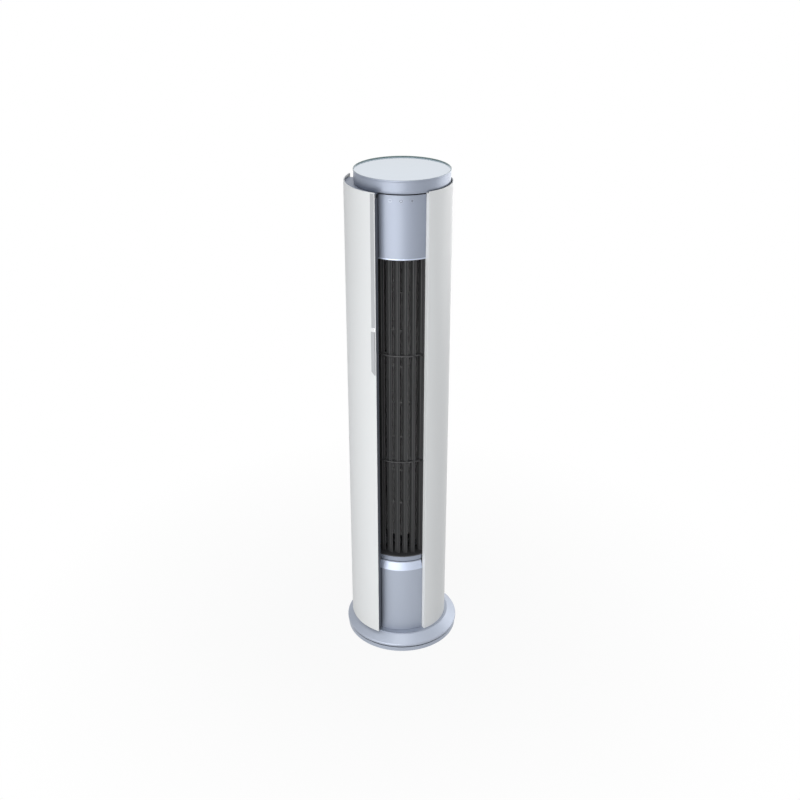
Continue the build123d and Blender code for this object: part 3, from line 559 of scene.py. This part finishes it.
class CONDITIONER_OT_side_panels(ConditionerPiece, bpy.types.Operator):
    """Build the two white side panels with their returns beside the outlet"""

    bl_idname = "conditioner.side_panels"
    bl_label = "Side panels"

    def execute(self, context):
        lip = arc_of(WALL, BODY_R)
        for side, top, node in ((1, SHELL_TOP, "right_side_panel"), (-1, LEFT_TOP, "left_side_panel")):
            bm = bmesh.new()
            start, end = sorted((side * OPENING_A, side * REAR_A))
            wall(bm, BODY_R - WALL, BODY_R, start, end, BASE_TOP, top)
            start, end = sorted((side * OPENING_A, side * (OPENING_A + lip)))
            return_top = min(top, CAP_BOTTOM - SHELL_CLEAR)
            wall(bm, RETURN_R, BODY_R - WALL / 2, start, end, BASE_TOP, return_top)
            soften(bm, sizes().edge)
            piece(bm, f"{node}_skin", "root", "white_shell", node)
        return {"FINISHED"}


class CONDITIONER_OT_door(ConditionerPiece, bpy.types.Operator):
    """Build the outer door with its inward edges"""

    bl_idname = "conditioner.door"
    bl_label = "Outer door"

    def execute(self, context):
        low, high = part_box("door_shell")
        start, end = DOOR_A
        inside = DOOR_R - DOOR_WALL
        rim = arc_of(DOOR_WALL, DOOR_R)
        bm = bmesh.new()
        wall(bm, inside, DOOR_R, start, end, low.z, high.z)
        inner = BODY_R + 6 * MM
        bottom, top = BASE_TOP + 14 * MM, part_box("top_deck")[0].z
        wall(bm, inner, DOOR_R - MM, end - rim, end, bottom, top)
        wall(bm, inner, DOOR_R - MM, start, start + rim, bottom, top)
        soften(bm, sizes().edge)
        skin = piece(bm, "door_skin", "door", "white_shell", "door_shell")
        forward = Vector((math.cos(math.radians(end)), math.sin(math.radians(end)), 0))

        # The door's inner faces take the grey moulding, partly a grey lining and partly painted shade
        # inside the door.
        def lining_and_shade(face, r):
            return r < inside + MM / 2 and face.normal.dot(face.center) < 0

        # Painted shade: the door's front edge and its inner return take the dark slate where they fall in
        # shadow.
        def door_edge_shade(face, r):
            near = abs(angle_of(face.center) - end) < 2 * rim
            return near and (r < inside - MM or face.normal.dot(forward) > 0.95)

        also(skin, "grey_plastic", lining_and_shade)
        also(skin, "slate_seal", door_edge_shade)
        return {"FINISHED"}


class CONDITIONER_OT_door_trim(ConditionerPiece, bpy.types.Operator):
    """Build the strip, the bright block and the pointed pull along the door's front edge"""

    bl_idname = "conditioner.door_trim"
    bl_label = "Door trim and pull"

    def execute(self, context):
        size = sizes()
        margin, width = 2.5 * MM, 13 * MM
        end = DOOR_A[1] - arc_of(margin, DOOR_R)
        start = end - arc_of(width, DOOR_R)
        for node, slot, proud in (
            ("door_trim", "grey_trim", 1.5 * MM),
            ("handle_cap", "chrome_trim", 3.5 * MM),
            ("door_handle", "grey_trim", 5 * MM),
        ):
            low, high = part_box(node)
            bm = bmesh.new()
            wall(bm, DOOR_R, DOOR_R + proud, start, end, low.z, high.z)
            if node == "door_handle":
                self.point(bm, low.z, size.tip, end)
            soften(bm, size.trim_edge)
            piece(bm, f"{node}_shaped", "door", slot, node)
        return {"FINISHED"}

    def point(self, bm, low, length, end):
        """Draws the lower end in to a point on the edge's side."""
        drawn, thinned = 0.8, 0.3
        bmesh.ops.bisect_plane(
            bm, geom=[*bm.verts, *bm.edges, *bm.faces],
            plane_co=(0, 0, low + length), plane_no=(0, 0, 1),
        )
        for v in bm.verts:
            if v.co.z < low + length / 2:
                aside = math.radians((end - angle_of(v.co)) * drawn)
                v.co = Matrix.Rotation(aside, 4, "Z") @ v.co
                r = math.hypot(v.co.x, v.co.y)
                flat = DOOR_R + (r - DOOR_R) * thinned
                v.co.x *= flat / r
                v.co.y *= flat / r


class CONDITIONER_OT_front_panels(ConditionerPiece, bpy.types.Operator):
    """Build the silver panel under the outlet, the lip over it and the bead over the outlet"""

    bl_idname = "conditioner.front_panels"
    bl_label = "Silver front panels"

    def execute(self, context):
        edge = sizes().trim_edge
        self.lower_panel(edge)
        self.shade_strips(edge)
        self.lip(edge)
        self.bead(edge)
        return {"FINISHED"}

    def lower_panel(self, edge):
        low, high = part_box("lower_front_panel")
        bevel_low, bevel_top = high.z - BEVEL_H, high.z - WALL
        top_r = FRONT_R - 7 * MM
        shelf_r = top_r - 12 * MM
        outline = [
            (RETURN_R, low.z), (FRONT_R, low.z), (FRONT_R, bevel_low), (top_r, bevel_top),
            (top_r, high.z), (shelf_r, high.z), (shelf_r, bevel_top),
            (top_r - WALL, bevel_top), (RETURN_R, bevel_low),
        ]
        bm = bmesh.new()
        turn(bm, outline, -FRONT_A, FRONT_A)
        soften(bm, edge * 2, 3, 8.0)
        # The lower panel takes the lighter base silver rather than the front silver, a lighter copy of the
        # same paint: painted light.
        panel = piece(bm, "lower_panel_shaped", "root", "silver_base", "lower_front_panel")
        # The bevel's faces take the lighter silver, a painted highlight where the bevel faces up to the
        # light.
        also(panel, "silver_bright", lambda face, r: r > top_r and bevel_low < face.center.z < bevel_top)

    def shade_strips(self, edge):
        """Dark slate strips along the left edges of the silver panels, painted shade for the shadowed gap
        beside the door.
        """
        strip = arc_of(SHADE_STRIP_W, FRONT_R)
        for name, node, short in (
            ("lower_seal", "lower_front_panel", BEVEL_H),
            ("upper_seal", "upper_front_panel", MM),
        ):
            low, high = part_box(node)
            bm = bmesh.new()
            wall(
                bm, FRONT_R - MM, FRONT_R + PROUD, -FRONT_A, strip - FRONT_A,
                low.z + MM, high.z - short,
            )
            soften(bm, edge / 2)
            piece(bm, name, "root", "rubber_black", finish="slate_seal")

    def lip(self, edge):
        low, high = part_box("outlet_sill")
        sill_r, neck = -low.y, low.z + 4 * MM
        neck_r, inner = sill_r - 6 * MM, sill_r - 12 * MM
        outline = [
            (inner, low.z), (neck_r, low.z), (neck_r, neck),
            (sill_r, neck), (sill_r, high.z), (inner, high.z),
        ]
        bm = bmesh.new()
        turn(bm, outline, -FRONT_A, FRONT_A)
        soften(bm, edge * 2, 3)
        piece(bm, "outlet_lip", "root", "silver_front", "outlet_sill")

    def bead(self, edge):
        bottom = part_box("upper_front_panel")[0].z
        under, over = 1.5 * MM, 2.5 * MM
        bm = bmesh.new()
        wall(bm, RETURN_R, FRONT_R + PROUD, -FRONT_A, FRONT_A, bottom - under, bottom + over)
        soften(bm, edge)
        # The bead takes the lighter silver, a painted highlight along the upper panel's lower edge.
        piece(bm, "upper_panel_bead", "root", "silver_front", finish="silver_bright")


class CONDITIONER_OT_key_marks(ConditionerPiece, bpy.types.Operator):
    """Build a minus, a power and a plus mark, one on each key"""

    bl_idname = "conditioner.key_marks"
    bl_label = "Key marks"

    def execute(self, context):
        reach, line, thick = 4.2 * MM, 1.3 * MM, 0.12 * MM
        mark_r = FRONT_R + 0.2 * MM + thick / 2
        marks = ((-1, "key_down", "minus"), (0, "key_power", "power"), (1, "key_up", "plus"))
        for column, node, mark in marks:
            bm = bmesh.new()
            if mark == "power":
                self.ring(bm, reach, line, thick)
                bar(bm, (line, thick, reach * 1.1), (0, 0, reach * 0.75))
            else:
                bar(bm, (2 * reach, thick, line), (0, 0, 0))
            if mark == "plus":
                bar(bm, (line, thick * 1.02, 2 * reach), (0, 0, 0))
            angle = math.degrees(math.asin(column * KEY_PITCH / FRONT_R))
            bmesh.ops.transform(bm, matrix=outward(angle, mark_r, KEY_Z), verts=bm.verts)
            piece(bm, f"mark_{mark}", f"{node}_body", "key_metal", finish="mark_grey")
        return {"FINISHED"}

    def ring(self, bm, reach, line, thick):
        """Most of a ring, open at the top."""
        gap = math.radians(38)
        section = ((-line, -thick), (line, -thick), (line, thick), (-line, thick))
        corners = [
            bm.verts.new((math.sin(gap) * (reach + x / 2), y / 2, math.cos(gap) * (reach + x / 2)))
            for x, y in section
        ]
        face = bm.faces.new(corners)
        bmesh.ops.spin(
            bm, geom=[face, *face.edges, *face.verts], cent=(0, 0, 0), axis=(0, 1, 0),
            angle=2 * math.pi - 2 * gap, steps=28, use_merge=False,
        )


class CONDITIONER_OT_top(ConditionerPiece, bpy.types.Operator):
    """Build the silver cap and the glass plate with its ground edge"""

    bl_idname = "conditioner.top"
    bl_label = "Cap and glass plate"

    def execute(self, context):
        rim_r = GLASS_R - 2.2 * MM
        self.cap(rim_r)
        self.plate(rim_r - 0.2 * MM)
        return {"FINISHED"}

    def cap(self, rim_r):
        low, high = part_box("top_cover")
        rim_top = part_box("top_glass")[1].z
        inner, hole = COVER_R - WALL, 20 * MM
        round_in, round_up = 3 * MM, 14 * MM
        curve = [
            (COVER_R - round_in * (1 - math.sin(a)), low.z + round_up * (1 - math.cos(a)))
            for a in (math.radians(22.5 * i) for i in range(1, 5))
        ]
        outline = [
            (inner - MM, low.z), (COVER_R - round_in, low.z), *curve,
            (COVER_R, high.z), (GLASS_R, high.z + MM), (GLASS_R, rim_top),
            (rim_r, rim_top), (rim_r, high.z), (hole, high.z), (hole, high.z - WALL),
            (inner, high.z - WALL), (inner, low.z + 8 * MM),
        ]

        def rim(face, r):
            return rim_r - MM < r < GLASS_R - SHELL_CLEAR and face.center.z > high.z + 1.5 * MM

        bm = bmesh.new()
        turn(bm, outline, 0, 360)
        soften(bm, 0.5 * MM, 2)
        cap = piece(bm, "cap_shell", "root", "silver_front", "top_cover")
        also(cap, "glass_edge", rim)

    def plate(self, edge_r):
        low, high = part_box("top_glass")
        top, middle = high.z - 4 * MM, 0.5 * MM
        outline = [(middle, low.z), (edge_r, low.z), (edge_r, top), (middle, top)]
        bm = bmesh.new()
        turn(bm, outline, 0, 360)
        plate = piece(bm, "glass_plate", "root", "top_plate", "top_glass", smooth=25.0)
        also(plate, "glass_edge", lambda face, r: r > edge_r - 0.1 * MM)


class CONDITIONER_OT_base(ConditionerPiece, bpy.types.Operator):
    """Build the flared base, the door's track on it and the rubber feet"""

    bl_idname = "conditioner.base"
    bl_label = "Base"

    def execute(self, context):
        self.skirt()
        self.feet()
        return {"FINISHED"}

    def skirt(self):
        low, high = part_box("base_cover")
        shoulder, hole = BODY_R + 10 * MM, BODY_R - 23 * MM
        groove, inner = BASE_R - 7 * MM, BASE_R - 7 * MM - WALL
        rim_low, rim_high = low.z + 6 * MM, low.z + 14 * MM
        outline = [
            (groove, low.z), (groove, rim_low), (BASE_R, rim_low), (BASE_R, rim_high - 2 * MM),
            (BASE_R - 1.5 * MM, rim_high + MM), (shoulder, BASE_TOP), (hole, BASE_TOP),
            (hole, BASE_TOP - WALL), (shoulder - WALL / 2, BASE_TOP - WALL),
            (inner, rim_high), (inner, low.z),
        ]

        # Painted shade: the groove under the rim takes the outlet black, standing in for the shadow in the
        # gap.
        def groove_painted_shade(face, r):
            return abs(r - groove) < MM and face.center.z < rim_low

        bm = bmesh.new()
        turn(bm, outline, 0, 360)
        wall(bm, shoulder - 2 * MM, shoulder, *TRACK_A, BASE_TOP - 0.5 * MM, high.z)
        soften(bm, 0.9 * MM, 3, 25.0)
        skirt = piece(bm, "base_skirt", "root", "silver_base", "base_cover")
        also(skirt, "outlet_black", groove_painted_shade)

    def feet(self):
        low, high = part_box("rubber_feet")
        foot_r = 18 * MM
        place_r = (high.x - foot_r) / math.sin(math.radians(QUARTERS[0]))
        bm = bmesh.new()
        for angle in QUARTERS:
            disc(bm, foot_r, high.z - low.z, outward(angle, place_r, (low.z + high.z) / 2))
        soften(bm, 0.8 * MM)
        piece(bm, "foot_pads", "root", "rubber_black", "rubber_feet")


class CONDITIONER_OT_rear(ConditionerPiece, bpy.types.Operator):
    """Build the screws that hold the rear panels, with their sockets"""

    bl_idname = "conditioner.rear"
    bl_label = "Rear screws"

    def execute(self, context):
        head_r, head_h = 4 * MM, 2 * MM
        low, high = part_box("panel_screws")
        heights = (low.z + head_r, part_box("intake_grille")[0].z - 28 * MM, high.z - head_r)
        bm = bmesh.new()
        for side in (-1, 1):
            for z in heights:
                head = self.head(head_r, head_h)
                place = outward(180 + side * SCREW_A, BODY_R + head_h / 2, z)
                bmesh.ops.transform(head, matrix=place, verts=head.verts)
                mesh = bpy.data.meshes.new("head")
                head.to_mesh(mesh)
                head.free()
                bm.from_mesh(mesh)
                bpy.data.meshes.remove(mesh)
        piece(bm, "screw_heads", "root", "steel_shaft", "panel_screws")
        return {"FINISHED"}

    def head(self, radius, height):
        """One screw head that faces local -Y."""
        head = bmesh.new()
        disc(head, radius, height, Matrix.Rotation(math.pi / 2, 4, "X"), sizes().screw_sides)
        rim = [e for e in head.edges if all(v.co.y < 0 for v in e.verts)]
        soften(head, 0.7 * MM, 3, edges=rim)
        self.socket(head)
        return head

    def socket(self, head):
        """Sinks a socket into the outer face."""
        face = min(head.faces, key=lambda f: f.calc_center_median().y)
        bmesh.ops.inset_region(head, faces=[face], thickness=1.5 * MM)
        sunk = bmesh.ops.extrude_face_region(head, geom=[face])["geom"]
        verts = [v for v in sunk if isinstance(v, bmesh.types.BMVert)]
        bmesh.ops.translate(head, verts=verts, vec=(0, 1.2 * MM, 0))
        bmesh.ops.delete(head, geom=[face], context="FACES_ONLY")


class CONDITIONER_OT_stage(ConditionerPiece, bpy.types.Operator):
    """Set the pale floor, the soft lamps, the plain world and the camera"""

    bl_idname = "conditioner.stage"
    bl_label = "Stage"

    def execute(self, context):
        scene = context.scene
        scene.view_settings.view_transform = "Standard"
        self.camera(scene)
        self.floor(scene)
        self.world(scene)
        self.lamp(scene, "key", (-1.15, -3.0, 0.75), (0, 0, 0.8), (3.2, 1.7), 76)
        self.lamp(scene, "rim", (2.75, 1.3, 1.05), (0, 0, 0.8), (2.6, 2.0), 38)
        self.lamp(scene, "back", (0.8, 3.0, 1.0), (0, 0, 0.9), (3.0, 2.0), 22)
        self.lamp(scene, "top", (-0.1, -1.3, 4.2), (0, 0, 0.9), (1.8, 1.4), 44)
        return {"FINISHED"}

    def camera(self, scene):
        lens = bpy.data.cameras.new("camera")
        lens.lens = 49.66
        lens.sensor_width = 36
        camera = bpy.data.objects.new("camera", lens)
        around, down = math.radians(1.5), 26.22
        camera.location = Matrix.Rotation(around, 4, "Z") @ Vector((-0.007, -3.444, 2.632))
        camera.rotation_euler = (math.radians(90 - down), 0, around)
        scene.collection.objects.link(camera)
        scene.camera = camera

    def lamp(self, scene, name, place, aim, size, power):
        light = bpy.data.lights.new(name, "AREA")
        light.shape = "ELLIPSE"
        light.size, light.size_y = size
        light.energy = power
        lamp = bpy.data.objects.new(name, light)
        lamp.location = place
        lamp.rotation_euler = (Vector(aim) - Vector(place)).to_track_quat("-Z", "Y").to_euler()
        scene.collection.objects.link(lamp)

    def floor(self, scene):
        bm = bmesh.new()
        bmesh.ops.create_circle(bm, cap_ends=True, segments=64, radius=14)
        mesh = bpy.data.meshes.new("floor")
        bm.to_mesh(mesh)
        bm.free()
        floor = bpy.data.objects.new("floor", mesh)
        scene.collection.objects.link(floor)
        f = Finish("pale floor")
        f.set(Base_Color=(0.45, 0.45, 0.45, 1), Roughness=0.9)
        away = f.node("ShaderNodeVectorMath", {"operation": "LENGTH"}, {0: f.place}, out="Value")
        share = f.seen() * f.span(away, 0.4, 1.5, 0.93, 1.0)
        glow = f.node("ShaderNodeEmission", inputs={"Color": (1, 1, 1, 1), "Strength": 1.0})
        lit = Wire(f, f.shader.outputs[0])
        mixed = f.node("ShaderNodeMixShader", inputs={0: share, 1: lit, 2: glow})
        f.put(f.tree.nodes["Material Output"].inputs[0], mixed)
        mesh.materials.append(f.material)

    def world(self, scene):
        world = bpy.data.worlds.new("studio")
        world.use_nodes = True
        scene.world = world
        nodes = Nodes(world.node_tree)
        shown = nodes.tree.nodes["Background"]
        shown.inputs["Color"].default_value = (1, 1, 1, 1)
        values = {"Color": (0.95, 0.97, 1.0, 1), "Strength": 0.26}
        lit = nodes.node("ShaderNodeBackground", inputs=values)
        values = {0: nodes.seen(), 1: lit, 2: Wire(nodes, shown.outputs[0])}
        mixed = nodes.node("ShaderNodeMixShader", inputs=values)
        nodes.put(nodes.tree.nodes["World Output"].inputs[0], mixed)


OPERATORS = (
    CONDITIONER_OT_finishes,
    CONDITIONER_OT_side_panels,
    CONDITIONER_OT_door,
    CONDITIONER_OT_door_trim,
    CONDITIONER_OT_front_panels,
    CONDITIONER_OT_key_marks,
    CONDITIONER_OT_top,
    CONDITIONER_OT_base,
    CONDITIONER_OT_rear,
    CONDITIONER_OT_stage,
)


class CONDITIONER_PT_panel(bpy.types.Panel):
    """The builder's panel in the sidebar"""

    bl_idname = "CONDITIONER_PT_panel"
    bl_label = "Floor Standing Air Conditioner"
    bl_space_type = "VIEW_3D"
    bl_region_type = "UI"
    bl_category = "Conditioner"

    def draw(self, context):
        column = self.layout.column(align=True)
        for group in (context.scene.conditioner_sizes, context.scene.conditioner_colours):
            for name in group.__annotations__:
                column.prop(group, name)
        for operator in OPERATORS:
            column.operator(operator.bl_idname)


CLASSES = (ConditionerSizes, ConditionerColours, *OPERATORS, CONDITIONER_PT_panel)


def register():
    for cls in CLASSES:
        bpy.utils.register_class(cls)
    bpy.types.Scene.conditioner_sizes = PointerProperty(type=ConditionerSizes)
    bpy.types.Scene.conditioner_colours = PointerProperty(type=ConditionerColours)


def unregister():
    del bpy.types.Scene.conditioner_colours
    del bpy.types.Scene.conditioner_sizes
    for cls in reversed(CLASSES):
        bpy.utils.unregister_class(cls)


def main():
    register()
    bpy.ops.conditioner.finishes()
    bpy.ops.conditioner.side_panels()
    bpy.ops.conditioner.door()
    bpy.ops.conditioner.door_trim()
    bpy.ops.conditioner.front_panels()
    bpy.ops.conditioner.key_marks()
    bpy.ops.conditioner.top()
    bpy.ops.conditioner.base()
    bpy.ops.conditioner.rear()
    bpy.ops.conditioner.stage()


if __name__ == "__main__":
    main()
